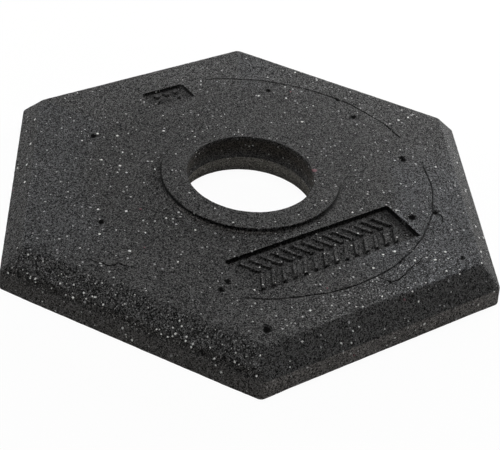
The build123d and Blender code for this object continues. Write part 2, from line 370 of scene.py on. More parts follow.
def tube_faces(rings, sides):
    """Quads round a tube of rings, and one face over each end."""
    quads = np.roll(closed_quads(rings, sides)[:-sides], -1, axis=1)
    first, last = np.arange(sides), np.arange(sides) + (rings - 1) * sides
    return [*quads.tolist(), first.tolist(), last[::-1].tolist()]


def add_values(piece, name, values):
    """Keeps one number, or one colour, for each corner of a piece's mesh, for its material to read."""
    is_colour = values.shape[-1] == 3
    if is_colour:
        values = np.insert(values, 3, 1.0, axis=-1)
    attribute = piece.data.attributes.new(name, "FLOAT_COLOR" if is_colour else "FLOAT", "POINT")
    attribute.data.foreach_set("color" if is_colour else "value", values.astype(np.float32).ravel())


# How far down a panel's wall the line below its lip lies, and steps round a panel's corner, as shares
LIP_SHARE = 0.12
CORNER_STEPS = np.array([0.3, 0.6, 1.0])

# Rows of the grid from each line across a panel to the next: wall, margin, bars, gap, bars, margin, wall
PANEL_STEPS = (0, 1, 1, 4, 1, 5, 1, 2, 1, 5, 1, 4, 1, 1)


class PanelLines:
    """Where a panel's walls, floor and chevron bars lie, along it and across it from its inner side."""

    def __init__(self, sizes, length, width, depth, corner, corner_inside, inner, grime_and_shade):
        self.sizes = sizes
        self.half, self.width, self.depth = length / 2, width, depth
        self.corner, self.corner_inside = corner, corner_inside
        self.inner, self.outer = inner, inner + width
        self.grime_and_shade = grime_and_shade
        self.row = (width - 2 * sizes.bar_margin - sizes.bar_row_gap) / 2
        self.lean = self.row * math.tan(sizes.bar_lean)
        room = length - 2 * sizes.bar_margin - sizes.bar_width - self.lean
        self.bars = int(room // sizes.bar_pitch) + 1
        run = (self.bars - 1) * sizes.bar_pitch + sizes.bar_width
        self.first = -(run + self.lean) / 2
        self.last = self.first + run

    def along_lines(self):
        """Lines that cross the panel: the ends of its floor, and the foot and top of each bar's two sides."""
        sizes = self.sizes
        starts = self.first + sizes.bar_pitch * np.arange(self.bars)[:, None]
        sides = np.array([0.0, sizes.draft, sizes.bar_width - sizes.draft, sizes.bar_width])
        walls = sizes.draft * np.array([0.0, LIP_SHARE, 1.0])
        ends = self.half - np.concatenate([walls, self.corner * CORNER_STEPS])
        return np.concatenate([-ends, (starts + sides).ravel(), ends])

    def across_shares(self):
        """Lines that run along the panel, as shares of its width: its walls, the bars' ends, and steps."""
        draft = self.sizes.draft
        bar = self.sizes.bar_margin + np.array([0.0, draft, self.row - draft, self.row])
        stops = np.concatenate([[0.0, LIP_SHARE * draft, draft], bar])
        stops = np.concatenate([stops, self.width - stops[::-1]])
        steps = np.cumsum(PANEL_STEPS)
        return np.interp(np.arange(steps[-1] + 1), steps, stops) / self.width

    def side_end(self, distance):
        """Turn from the panel's middle to the end of a long side, and how far from the axis that end is."""
        return math.atan2(self.half, distance), math.hypot(self.half, distance)

    def nearness(self, out, along, reach):
        """1 in the panel, and smoothly less outside it, down to 0 at a distance of reach."""
        beside = np.maximum(np.abs(along) - self.half, 0.0)
        beyond = np.maximum(np.abs(out - (self.inner + self.outer) / 2) - self.width / 2, 0.0)
        return smooth(1.0 - np.hypot(beside, beyond) / reach)

    def wall_distance(self, along, across):
        """Distance of a place from the nearest wall, counted inwards, with the two rounded corners."""
        wall = np.minimum(self.half - np.abs(along), np.minimum(across, self.width - across))
        from_end = np.abs(along) - (self.half - self.corner)
        from_side = self.corner - (across if self.corner_inside else self.width - across)
        rounded = self.corner - np.hypot(np.maximum(from_end, 0.0), np.maximum(from_side, 0.0))
        return np.where((from_end > 0) & (from_side > 0), np.minimum(wall, rounded), wall)

    def surface(self, along, across):
        """Shift along the panel and height of the floor at lines of the grid.

        The lines lean with the bars: the shift grows from 0 at a bar's outer end to the whole lean at its
        inner end, and fades to 0 towards the ends of the panel. The height falls from 0 to the floor over
        the draft of the walls, and rises from the floor to a bar's top over the draft of its sides.
        """
        sizes = self.sizes
        off_middle = np.abs(across - self.width / 2)
        reach = sizes.bar_row_gap / 2 + self.row
        fade_in = np.clip((along + self.half) / (self.first + self.half), 0.0, 1.0)
        fade_out = np.clip((self.half - along) / (self.half - self.last), 0.0, 1.0)
        shift = self.lean * np.clip((reach - off_middle) / self.row, 0.0, 1.0) * fade_in * fade_out

        from_bar = (along - self.first) % sizes.bar_pitch
        on_bar = np.minimum(from_bar, sizes.bar_width - from_bar)
        on_row = np.minimum(off_middle - sizes.bar_row_gap / 2, reach - off_middle)
        among_bars = (along >= self.first) & (along <= self.last)
        bar = np.where(among_bars, np.minimum(on_bar, on_row), 0.0)

        height = -self.depth * np.clip(self.wall_distance(along, across) / sizes.draft, 0.0, 1.0)
        return shift, height + sizes.bar_rise * np.clip(bar / sizes.draft, 0.0, 1.0)


def hexagon_radius(turn, apothem, corner):
    """Distance from the axis to a six-sided outline with rounded corners.

    Along a side it is the apothem over the cosine of the turn from the side's middle. At a corner it is
    where the ray meets the corner's circle, d cos b + sqrt(c^2 - d^2 sin^2 b), with d the distance of the
    circle's centre from the axis, c its radius and b the turn from the corner.
    """
    half_turn = SIDE_TURN / 2
    off_middle = np.abs(wrapped(turn, SIDE_TURN))
    off_corner = half_turn - off_middle
    centre = (apothem - corner) / math.cos(half_turn)
    straight = apothem / np.cos(off_middle)
    chord = np.sqrt(np.maximum(corner**2 - (centre * np.sin(off_corner)) ** 2, 0.0))
    touch = np.arctan2(centre * math.sin(half_turn), apothem)
    return np.where(off_middle > touch, centre * np.cos(off_corner) + chord, straight)


# Distance from the axis, beside the panels, of the rows that follow the panels' inner and outer sides,
# and the share of the way from one panel to the other over which they bulge to it
OPEN_INNER, OPEN_OUTER = 108 * MM, 150 * MM
BULGE_SHARE = 0.2

# Columns over each corner of the block, the least turn between columns, and slack for rounding
CORNER_COLUMNS, LEAST_GAP, SLACK = 7, math.radians(0.02), 1e-6

# Rows over each rounding of the bore's and the rim's sections, and on each run between two roundings
BORE_ROUNDS, BORE_RUNS = (3, 3, 3, 7, 4, 4), (1, 5, 2, 9, 10, 3, 1)
RIM_ROUNDS, RIM_RUNS = (8, 7, 4), (2, 8, 7, 2)

# Rows from the collar to the panels, from there to the insert's line, from that to the rim, and underneath
COLLAR_ROWS, PANEL_ROWS, RIM_ROWS, GROUND_ROWS = 12, 7, 11, 9

# Flat stretches that the sections start and end with: at the seat, the collar's root, the rim and the foot
SEAT_MARGIN, ROOT_MARGIN, RIM_MARGIN, FOOT_MARGIN = 4 * MM, 3 * MM, 10 * MM, 8 * MM

# How far round a panel the top is moved with it, and how much painted shade the two panels' walls hold
SHIFT_REACH = 8 * MM
LONG_SHADE, SHORT_SHADE = 1.0, 1.35

# Turn from the middle of a side, in degrees, over which the rounding of its edges is even
EDGE_HOLD = 24.0

# Directions in which the collar with the seat, and the bore, lie off the axis
COLLAR_SHIFT_BEARING, BORE_SHIFT_BEARING = math.radians(-50), math.radians(-20)

# Where the collar's edge is worn, in degrees: the middle, how far it reaches to either side, and its fade
WORN_COLLAR = (-165, 40, 20)

# The mould insert's line: arcs that it shows on, in degrees, and the fade at their ends, bearings with the
# share of its depth there, and places of its lips and feet across it, as shares of half its width
WITNESS_ARCS = ((-97, 12), (25, 103))
WITNESS_FADE = math.radians(3.0)
WITNESS_DEPTHS = np.array([
    (-97, 0.8), (-80, 0.9), (-20, 1.0), (-8, 1.15), (5, 0.75), (30, 1.15), (60, 0.9), (103, 0.8),
])
WITNESS_SECTION = np.array([-1.0, -0.35, 0.35, 1.0])

# Noise in that line: how far it wanders, how much its width and its depth vary, and the spacing of each
WANDER, WANDER_SPACING = 0.8 * MM, 14 * MM
WIDTH_SWING, WIDTH_SPACING = 0.6, 6 * MM
DEPTH_SWING, DEPTH_SPACING = 0.3, 7 * MM


class BlockGrid:
    """The block's whole skin as one closed grid: rows run round the bore, columns along its section.

    Plan places are kept as two numbers, out towards the long panel and along it. Inside a panel the columns
    run square to its long side, and everywhere else they run out from the axis.
    """

    def __init__(self, block, panels, skin):
        self.block = block
        self.top = block.wall_height + block.bevel_height
        self.collar_radius = block.bore_radius + block.collar_width
        self.top_apothem = block.across_flats / 2 - block.wall_draft - block.bevel_inset
        self.witness_radius = self.top_apothem - block.witness_margin
        self.long = PanelLines(
            panels, panels.long_length, panels.long_width, panels.long_depth, panels.long_corner, True,
            self.collar_radius + panels.long_gap, LONG_SHADE,
        )
        self.short = PanelLines(
            panels, panels.short_length, panels.short_width, panels.short_depth, panels.short_corner, False,
            self.top_apothem - panels.short_margin - panels.short_width, SHORT_SHADE,
        )
        self.shift = panels.shift
        self.skin_depth = skin.inset + (skin.wave_height + skin.crumb_height) / 2
        self.turn = self.column_turns(skin.column_step)

        # How far each column lies on the way from the long panel, 0, to the short one, 1. Each panel, which
        # columns cross it, and whether it lies out from the axis or opposite
        turned = np.abs(self.turn)
        start = self.long.side_end(self.long.outer)[0]
        end = math.pi - self.short.side_end(self.short.outer)[0]
        self.way = np.clip((turned - start) / (end - start), 0.0, 1.0)
        self.panels = ((self.long, turned <= start + SLACK, 1), (self.short, turned >= end - SLACK, -1))

    def column_turns(self, step):
        """Turns of the columns at the rim: the panels' lines, the rounded corners, and even steps between."""
        block = self.block
        long_lines = np.arctan2(self.long.along_lines(), self.long.outer)
        short_lines = math.pi - np.arctan2(self.short.along_lines(), self.short.outer)
        corner_span = block.corner_radius * math.tan(SIDE_TURN / 2) / (block.across_flats / 2)
        corner_lines = np.linspace(-1.0, 1.0, CORNER_COLUMNS) * corner_span
        corners = (np.arange(SIDES) + 0.5)[:, None] * SIDE_TURN + corner_lines
        lines = np.sort(wrapped(np.concatenate([long_lines, short_lines, corners.ravel()])))
        lines = lines[np.diff(lines, prepend=-math.inf) > LEAST_GAP]
        gaps = np.diff(lines, append=lines[0] + 2 * math.pi)
        counts = np.ceil(gaps / step - SLACK).astype(int)
        number = np.arange(counts.sum()) - np.repeat(np.cumsum(counts) - counts, counts)
        return np.repeat(lines, counts) + number * np.repeat(gaps / counts, counts)

    def panel_side(self, long_distance, short_distance, open_radius):
        """Plan places of one row that follows a long side of both panels.

        In a panel the row is straight. Between the panels its turn and its distance from the axis go evenly
        from one panel's end to the other's, and the distance bulges to open_radius on the way.
        """
        way = self.way
        long_turn, long_radius = self.long.side_end(long_distance)
        short_turn, short_radius = self.short.side_end(short_distance)
        turn = np.sign(self.turn) * (long_turn + way * (math.pi - short_turn - long_turn))
        radius = long_radius + way * (short_radius - long_radius)
        radius += smooth(np.minimum(way, 1.0 - way) / BULGE_SHARE) * (open_radius - radius)
        row = around(radius, turn, self.top)
        for (panel, columns, side), distance in zip(self.panels, (long_distance, short_distance)):
            row[columns, 0] = side * distance
            row[columns, 1] = side * panel.outer * np.tan(self.turn[columns])
        return row

    def collar_offset(self, bearing):
        """How much farther from the axis the collar and the seat reach in each direction."""
        return self.block.collar_shift * np.cos(bearing - COLLAR_SHIFT_BEARING)

    def bore_rows(self, turn):
        """Rows from the seat's foot, over its ledge, up the bore, over the collar and down to the top."""
        block = self.block
        bearing = turn + LONG_PANEL_OUT
        seat = block.seat_radius - self.skin_depth
        bore = block.bore_radius - 2 * self.skin_depth
        collar = self.collar_radius
        corners = np.array([
            (seat + SEAT_MARGIN, 0.0),
            (seat, 0.0),
            (seat, block.seat_depth),
            (bore, block.seat_depth),
            (bore, block.collar_height),
            (collar, block.collar_height),
            (collar, self.top),
            (collar + ROOT_MARGIN, self.top),
        ])
        corners = np.repeat(corners[:, None], len(turn), axis=1)
        corners[1:, :, 0] += self.collar_offset(bearing)
        bore_offset = block.bore_shift * np.cos(bearing - BORE_SHIFT_BEARING)
        corners[3:5, :, 0] += bore_offset - self.collar_offset(bearing)
        worn = facing(bearing, *WORN_COLLAR)[:, None]
        edge = block.collar_edge + worn * (block.collar_worn - block.collar_edge)
        radii = (block.seat_foot, block.seat_edge, block.seat_edge, block.bore_lip, edge, block.collar_root)
        section = rounded_section(corners, len(turn), zip(radii, BORE_ROUNDS), BORE_RUNS)
        return around(section[..., 0], turn, section[..., 1])

    def top_rows(self, start, inner):
        """Rows over the flat top, from the collar's root, through both panels, to the insert's line."""
        outer = self.panel_side(self.long.outer, self.short.outer, OPEN_OUTER)
        long_shares = self.long.across_shares()[:, None]
        shares = long_shares + self.way * (self.short.across_shares()[:, None] - long_shares)
        rows = inner + shares[..., None] * (outer - inner)
        for panel, columns, _ in self.panels:
            shift, height = panel.surface(rows[:, columns, 1], shares[:, columns] * panel.width)
            rows[:, columns, 1] += shift
            rows[:, columns, 2] += height
        line = self.witness_rows()
        near = between(start, inner, COLLAR_ROWS)
        rows = np.concatenate([near, rows, between(outer, line[0], PANEL_ROWS), line])
        for panel, _, side in self.panels:
            rows[..., 1] += self.shift * panel.nearness(side * rows[..., 0], rows[..., 1], SHIFT_REACH)
        return rows

    def witness_rows(self):
        """Rows over both lips and both feet of the insert's line, whose place and width waver a little."""
        ring = around(self.witness_radius, self.turn, 0.0)
        middle = self.witness_radius + WANDER * lattice_noise(ring, WANDER_SPACING, seed=5)
        swing = WIDTH_SWING * lattice_noise(ring, WIDTH_SPACING, seed=6)
        half = self.block.witness_width / 2 * (1.0 + swing)
        rows = around(middle + half * WITNESS_SECTION[:, None], self.turn, self.top)
        rows[1:3, :, 2] -= self.block.witness_depth * self.witness_strength()
        return rows

    def witness_strength(self):
        """How deep the insert's line shows in each direction: uneven along its arcs, fading at their ends."""
        bearing = wrapped(self.turn + LONG_PANEL_OUT)
        arcs = [np.minimum(bearing - start, end - bearing) for start, end in np.radians(WITNESS_ARCS)]
        ring = around(self.witness_radius, bearing, 0.0)
        bearings, depths = WITNESS_DEPTHS.T
        whole = np.interp(bearing, np.radians(bearings), depths)
        whole += DEPTH_SWING * lattice_noise(ring, DEPTH_SPACING, seed=10)
        return smooth(np.max(arcs, axis=0) / WITNESS_FADE) * whole

    def edge_radius(self, usual, front_right, front_left):
        """Rounding of an edge in each direction: even along a side, and blended at the corners."""
        radii = {FRONT_RIGHT: front_right, FRONT_LEFT: front_left}
        sides = [radii.get(side, usual) for side in range(SIDES)]
        middles = np.arange(SIDES)[:, None] * SIDE_TURN
        turns = middles + math.radians(EDGE_HOLD) * np.array([-1, 1])
        return np.interp(self.turn, turns.ravel(), np.repeat(sides, 2), period=2 * math.pi)[:, None]

    def rim_rows(self):
        """Rows over the top edge, down the bevel, over the shoulder, down the wall and round the foot."""
        block = self.block
        outer = block.across_flats / 2
        corners = np.array([
            (self.top_apothem - RIM_MARGIN, self.top),
            (self.top_apothem, self.top),
            (outer - block.wall_draft, block.wall_height),
            (outer, 0.0),
            (outer - FOOT_MARGIN, 0.0),
        ])
        top_edge = self.edge_radius(block.top_edge, block.crisp_edge, block.soft_edge)
        foot = self.edge_radius(block.foot_radius, block.worn_foot, block.sharp_foot)
        roundings = zip((top_edge, block.shoulder_radius, foot), RIM_ROUNDS)
        section = rounded_section(corners[:, None], len(self.turn), roundings, RIM_RUNS)
        radius = hexagon_radius(self.turn, section[..., 0], block.corner_radius)
        return around(radius, self.turn, section[..., 1])

    def points(self):
        """All rows, from the seat's foot up the bore, over the top, down the outside and back underneath."""
        inner = self.panel_side(self.long.inner, self.short.inner, OPEN_INNER)
        bore = self.bore_rows(np.arctan2(inner[:, 1], inner[:, 0]))
        top = self.top_rows(bore[-1], inner)
        rim = self.rim_rows()
        outside, beneath = between(top[-1], rim[0], RIM_ROWS), between(rim[-1], bore[0], GROUND_ROWS)
        rows = np.concatenate([bore, top, outside, rim, beneath])
        plan = rows[..., :1] * OUT_AXIS + rows[..., 1:2] * ALONG_AXIS
        return np.concatenate([plan, rows[..., 2:]], axis=-1)


def dent(points, top, x, y, radius):
    """Gathers the grid round one void and sinks it there.

    Within three radii, the reach, a corner's distance d from the middle becomes reach times (d / reach)^1.5.
    It sinks to a sphere of the void's radius whose middle stands a quarter of the radius above the top.
    """
    reach = 3.0 * radius
    offset = points[..., :2] - (x, y)
    distance = np.linalg.norm(offset, axis=-1)
    near = (distance < reach) & (points[..., 2] > top - 2 * radius)
    drawn = np.where(near, np.sqrt(np.maximum(distance, 1e-9) / reach), 1.0)
    points[..., :2] = offset * drawn[..., None] + (x, y)
    distance = distance * drawn
    depth = np.sqrt(np.maximum(radius**2 - distance**2, 0.0)) - radius / 4
    points[..., 2] -= np.where(near, np.maximum(depth, 0.0), 0.0)


def roughen(points, skin):
    """Sinks the whole skin along its normals by the inset, a broad unevenness and the coarse crumbs.

    The normal is the cross product of the steps to the neighbours along the columns and along the rows.
    """
    down = np.roll(points, -1, axis=0) - np.roll(points, 1, axis=0)
    along = np.roll(points, -1, axis=1) - np.roll(points, 1, axis=1)
    normal = np.cross(down, along)
    normal /= np.maximum(np.linalg.norm(normal, axis=-1, keepdims=True), 1e-12)
    wave = 0.5 + 0.5 * lattice_noise(points, skin.wave_length, seed=3)
    crumb = 0.5 + 0.5 * lattice_noise(points, skin.crumb_length, seed=4)
    depth = skin.inset + skin.wave_height * wave + skin.crumb_height * crumb
    return points - depth[..., None] * normal


# The line of grime and painted shade on the collar's wall: bearing in degrees, height and spread in
# millimetres, and strength, which is below 0 where the wall has painted light instead
COLLAR_LINE = np.array([
    (-196, 40.2, 4.0, 0.0), (-186, 40.2, 4.0, 1.35), (-140, 39.8, 0.9, 1.35),
    (-110, 39.2, 0.6, 0.6), (-80, 39.4, 1.5, -1.2), (-50, 36.9, 0.8, 0.7),
    (-20, 36.7, 4.0, 1.35), (-5, 36.7, 4.0, 1.2), (4, 36.7, 3.0, 0.0),
])

# How far a side of the block reaches from its middle, just past its corners, and its fade, in degrees
SIDE_REACH, SIDE_FADE = 180 / SIDES + 1, 2

# Directions of films on the skin in degrees, for paleness, painted shadow, painted light and painted sheen:
# the middle, how far it reaches to either side, and its fade
PALEST_SEAT = (150, 45, 40)
DARK_ROOT, PALE_FILLET, PALE_APRON = (-100, 45, 15), (-115, 45, 15), (-100, 95, 60)
RIGHT_END, LEFT_END = (-20, 45, 25), (150, 80, 20)

# Shares of dust and painted bounce light: on the walls and more of it at the front left and front right, and
# at the foot of that wall. Shares of the seat's paleness: at its foot, where less is painted shade, and more
# of it at the back left. Shares of painted light on the fillet and the apron before the collar
WALL_DUST_AND_LIGHT, FRONT_LEFT_DUST_AND_LIGHT, FRONT_RIGHT_DUST_AND_LIGHT, FOOT_DUST_AND_LIGHT = 0.3, 0.1, 0.85, 0.6
SEAT_FOOT_PALENESS, SEAT_BACK_PALENESS = 0.65, 0.35
FILLET_LIGHT, APRON_LIGHT = 0.5, 0.8

# Painted shade in the panels: depths between which it starts below the lip, how much thinner it is at the
# foot, and how much more lies on the wall and, as a painted shadow, on the floor at the long panel's right
# end
LIP_START, LIP_END, FOOT_LOSS = 0.02, 0.1, 0.4
END_WALL_SHADE, END_FLOOR_SHADOW = 0.45, 0.65

# Painted light on the top: towards the insert's line and past it, at the left, more at the back left, and at
# the right. At the left and right ends, away from the back left, it is a cooler painted sheen
RIM_LIGHT, LEFT_LIGHT, BACK_LEFT_LIGHT, RIGHT_SHEEN = 0.5, 0.8, 0.5, 1.4

# The front-right edge's painted highlight: how far along it is palest, where painted shade takes over, and
# how dark that is
RIDGE_PALEST, RIDGE_END, RIDGE_SHADE = 60 * MM, 75 * MM, 1.5

# Contrast of the grain on the top, what it loses past the rim and on the seat, and gains on the bevels
TOP_GRAIN, RIM_LOSS, SEAT_LOSS, BEVEL_GAIN = 1.35, 0.35, 0.6, 0.1

# Level of the specks on the collar, and what it gains on the top, to its right and at its front-right rim
COLLAR_SPECKS, TOP_SPECKS, RIGHT_SPECKS, RIM_SPECKS = 0.34, 0.04, 0.08, 0.22

# How much more, or less, painted light, contrast and specks some sides have
BEVEL_LIGHT = {FRONT_LEFT: 0.7, LEFT: 0.6}
BEVEL_GRAIN = {FRONT_LEFT: 0.4, LEFT: 1.4, RIGHT: 1.4}
BEVEL_SPECKS = {FRONT_LEFT: 0.4, FRONT_RIGHT: -0.08, LEFT: -0.17, RIGHT: -0.22}
WALL_SPECKS = {FRONT_RIGHT: 0.22, FRONT_LEFT: 0.08}


class SkinPlaces:
    """Where the corners of the skin lie, in the terms that its finish is told in."""

    def __init__(self, points, grid):
        self.grid, self.block = grid, grid.block
        self.x, y, self.height = np.moveaxis(points, -1, 0)
        self.radius = np.hypot(self.x, y)
        self.bearing = np.arctan2(y, self.x)
        self.out = self.x * OUT_AXIS[0] + y * OUT_AXIS[1]
        self.along = self.x * ALONG_AXIS[0] + y * ALONG_AXIS[1]
        self.panel_along = self.along - grid.shift
        self.past_collar = self.radius - grid.collar_radius - grid.collar_offset(self.bearing)
        off_middle = wrapped(self.bearing - LONG_PANEL_OUT, SIDE_TURN)
        self.outside = self.radius * np.cos(off_middle) > grid.top_apothem
        shoulder = self.block.wall_height
        self.bevel = self.outside * ramp(self.height, shoulder, shoulder + 1 * MM)
        self.in_bore = self.radius < self.block.seat_radius + 2 * MM
        self.on_top = self.height > grid.top - 1 * MM

    def facing(self, middle, reach, fade):
        """1 near a middle direction, falling to 0 at its reach."""
        return facing(self.bearing, middle, reach, fade)

    def side(self, number):
        """1 on one side of the block, fading to 0 just past its corners."""
        return self.facing(math.degrees(LONG_PANEL_OUT + number * SIDE_TURN), SIDE_REACH, SIDE_FADE)

    def by_side(self, weights):
        """Weights that are given for some of the sides, at each place."""
        return sum(weight * self.side(number) for number, weight in weights.items())


def side_films(places, finish):
    """Dust and painted bounce light on the walls, most at the front right. Painted light on the bevels, and
    grime and painted shade above the front-left shoulder.
    """
    front_right, front_left = places.side(FRONT_RIGHT), places.side(FRONT_LEFT)
    height, shoulder = places.height, places.block.wall_height
    up_wall = FOOT_DUST_AND_LIGHT + (1.0 - FOOT_DUST_AND_LIGHT) * height / shoulder
    wall = places.outside * ramp(height, shoulder + 0.5 * MM, shoulder - 1 * MM)
    wall *= WALL_DUST_AND_LIGHT + FRONT_LEFT_DUST_AND_LIGHT * front_left + FRONT_RIGHT_DUST_AND_LIGHT * front_right * up_wall
    ledge = front_left * places.outside * window(height, shoulder + 1.5 * MM, shoulder + 4 * MM, 2 * MM)
    bevel = places.by_side(BEVEL_LIGHT) + front_right * ramp(places.along, 100 * MM, 0.0)
    # Dust and painted bounce light on the walls
    yield wall, finish.wall_dust_and_light
    # Grime and painted shade above the front-left shoulder
    yield ledge, finish.shoulder_grime_and_shade
    # Painted light on the bevels
    yield places.bevel * bevel, finish.rim_light


def bore_films(places, finish):
    """The flange seat painted paler, most of all at the back left and less at its foot, which is painted
    shade. Soot on the bore's wall above it.
    """
    height, ledge, rim = places.height, places.block.seat_depth, places.block.collar_height
    seat = places.in_bore * ramp(height, ledge, ledge - 1 * MM)
    # Less paleness at the seat's foot is painted shade
    seat *= SEAT_FOOT_PALENESS + (1.0 - SEAT_FOOT_PALENESS) * ramp(height, 4 * MM, 8 * MM)
    seat *= 1.0 + SEAT_BACK_PALENESS * places.facing(*PALEST_SEAT)
    soot = places.in_bore * ramp(height, ledge, ledge + 14 * MM) * ramp(height, rim, rim - 6 * MM)
    yield seat, finish.seat_paleness
    yield soot, finish.bore_soot


def collar_films(places, finish):
    """A line of grime and painted shade round the collar's wall, with painted light where it is pale. A
    painted shadow at its root, and painted light on the fillet and the apron at its front.
    """
    past, top = places.past_collar, places.grid.top
    bearings, *columns = COLLAR_LINE.T
    bearing, whole = np.degrees(places.bearing), 360
    level, spread, strength = (np.interp(bearing, bearings, column, period=whole) for column in columns)
    above = places.height - level * MM
    line = window(past, -0.8 * MM, 1.2 * MM, 0.5 * MM) * window(above, -0.5 * MM, 0.5 * MM, spread * MM)
    root = places.on_top * window(past, 1.5 * MM, 2.5 * MM, 0.8 * MM)
    fillet = window(past, 0.0, 1 * MM, 0.5 * MM) * window(places.height, top, top + 0.8 * MM, 0.5 * MM)
    apron = places.on_top * window(past, 4 * MM, 8 * MM, 3 * MM)
    # Grime and painted shade in a line round the collar's wall, and painted light where its strength is below
    # 0
    yield strength * line, finish.grime_and_shade
    # A painted shadow at the collar's root
    yield root * places.facing(*DARK_ROOT), finish.shoulder_grime_and_shade
    # Painted light on the collar's fillet
    yield FILLET_LIGHT * fillet * places.facing(*PALE_FILLET), finish.wall_dust_and_light
    # Painted light on the apron before the collar
    yield APRON_LIGHT * apron * places.facing(*PALE_APRON), finish.lip_and_apron_light


def panel_wall_shade(places):
    """How much painted shade lies on the panels' walls: most below their lips and at the long one's right
    end, where a painted shadow also lies on the floor.
    """
    grid, along = places.grid, places.panel_along
    below = grid.top - places.height
    grime_and_shade = np.zeros_like(along)
    for panel, _, side in grid.panels:
        inside = panel.wall_distance(along, side * places.out - panel.inner)
        depth = below / panel.depth
        on_wall = (inside > 0) & (inside < panel.sizes.draft + 0.05 * MM)
        weight = panel.grime_and_shade * (1.0 - FOOT_LOSS * depth)
        grime_and_shade = np.maximum(grime_and_shade, on_wall * ramp(depth, LIP_START, LIP_END) * weight)
    in_long = grid.long.wall_distance(along, places.out - grid.long.inner) > 0
    at_end = in_long * window(grid.long.half - along, 0.0, 5 * MM, 3 * MM) * (below > 0.1 * MM)
    on_floor = END_FLOOR_SHADOW * at_end * (1.0 - np.minimum(grime_and_shade, 1.0))
    return grime_and_shade * (1.0 + END_WALL_SHADE * at_end) + on_floor


def bar_foot_shade(places):
    """1 on the long panel's floor close to the foot of a bar, where painted shade lies, and 0 elsewhere."""
    panel, along = places.grid.long, places.panel_along
    sizes = panel.sizes
    across = places.out - panel.inner
    straight = along - panel.surface(along, across)[0]
    from_bar = (straight - panel.first) % sizes.bar_pitch
    beside = np.abs(from_bar - sizes.bar_width / 2) - sizes.bar_width / 2
    off_row = np.abs(across - panel.width / 2) - (sizes.bar_row_gap + panel.row) / 2
    beyond = np.abs(off_row) - panel.row / 2
    near = ramp(np.hypot(np.maximum(beside, 0.0), np.maximum(beyond, 0.0)), 1.2 * MM, 0.4 * MM)
    half_way = places.grid.top - panel.depth + sizes.bar_rise / 2
    low = ramp(places.height, half_way, half_way - 0.5 * MM)
    among = (straight > panel.first - 1 * MM) & (straight < panel.last + 1 * MM)
    return near * low * among * (panel.wall_distance(along, across) > sizes.draft)


def panel_films(places, finish):
    """Painted shade on the panels' walls and round the bars' feet. A painted highlight beside the long
    panel's right end.
    """
    panel = places.grid.long
    lip = places.on_top * window(places.panel_along - panel.half, 0.3 * MM, 2 * MM, 0.6 * MM)
    lip *= window(places.out, panel.inner + 4 * MM, panel.outer - 4 * MM, 4 * MM)
    # Painted shade on the panels' walls, and a painted shadow on the floor at the long panel's right end
    yield panel_wall_shade(places), finish.grime_and_shade
    # Painted shade round the bars' feet
    yield bar_foot_shade(places), finish.bar_shade
    # A painted highlight beside the long panel's right end
    yield lip, finish.lip_and_apron_light


def top_films(places, finish):
    """Painted shade on the top and in the insert's line. Painted light near and past that line and at the
    back left, and painted sheen at both ends.

    The front-right edge has a painted highlight towards its right, and painted shade at its right end.
    """
    grid, radius, height, on_top = places.grid, places.radius, places.height, places.on_top
    top, insert, rim = grid.top, grid.witness_radius, grid.top_apothem
    back_left = places.side(BACK_LEFT)
    line = window(radius, insert - 2 * MM, insert + 2 * MM, 1 * MM)
    line *= ramp(height, top - 0.35 * MM, top - 0.65 * MM) * (height > top - 2 * MM)
    beyond = (1.0 - places.side(FRONT_LEFT)) * ramp(radius, insert, insert + 2 * MM)
    left = on_top * ramp(radius, 135 * MM, 160 * MM) * places.facing(*LEFT_END)
    left *= LEFT_LIGHT + BACK_LEFT_LIGHT * back_left
    right = on_top * ramp(radius, 125 * MM, 140 * MM) * places.facing(*RIGHT_END)
    ridge = on_top * places.side(FRONT_RIGHT) * window(places.out, rim - 5 * MM, rim, 2 * MM)
    dark_end = RIDGE_SHADE * ramp(places.along, RIDGE_PALEST, RIDGE_END)
    # Painted shade in the insert's line
    yield line, finish.grime_and_shade
    # Painted shade over the top
    yield on_top * (1.0 - places.outside), finish.top_shade
    # Painted light towards the edge and at the back left
    yield on_top * RIM_LIGHT * (ramp(radius, 115 * MM, 155 * MM) + beyond), finish.rim_light
    yield left * back_left, finish.rim_light
    # A cooler painted sheen at the left and right ends
    yield left * (1.0 - back_left), finish.end_sheen
    yield RIGHT_SHEEN * right, finish.end_sheen
    # A painted highlight along the front-right edge, with painted shade at its right end
    yield ridge * (ramp(places.along, 0.0, RIDGE_PALEST) - dark_end), finish.ridge_highlight


def stain_and_light(places, finish):
    """How much paler, darker or browner than clean rubber the skin is: the product of all films on it, of
    dust, grime, soot, painted light and painted shade.
    """
    total = np.ones((*places.radius.shape, 3))
    for films in (side_films, bore_films, collar_films, panel_films, top_films):
        for cover, factors in films(places, finish):
            total *= 1.0 + cover[..., None] * (np.array(factors) - 1.0)
    return total


def grain_contrast(places):
    """How strongly the crumbs' tones differ: most on the left and right bevels, least on the flange seat."""
    seat = places.in_bore & (places.height < places.block.seat_depth)
    bevel = places.bevel * (BEVEL_GAIN + places.by_side(BEVEL_GRAIN))
    return TOP_GRAIN - RIM_LOSS * places.outside - SEAT_LOSS * seat + bevel


def speck_level(places):
    """How thickly pale specks lie: most on the front-left bevel and at the front right, least in the bore."""
    radius, outside, bevel = places.radius, places.outside, places.bevel
    collar, insert = places.grid.collar_radius, places.grid.witness_radius
    rim = places.side(FRONT_RIGHT) * (radius > insert)
    top = RIGHT_SPECKS * ramp(places.x, 0.0, 80 * MM) + RIM_SPECKS * rim
    level = COLLAR_SPECKS + TOP_SPECKS * ramp(radius, collar, collar + 2 * MM) + (1.0 - outside) * top
    wall = outside * (1.0 - bevel)
    return level + bevel * places.by_side(BEVEL_SPECKS) + wall * places.by_side(WALL_SPECKS)


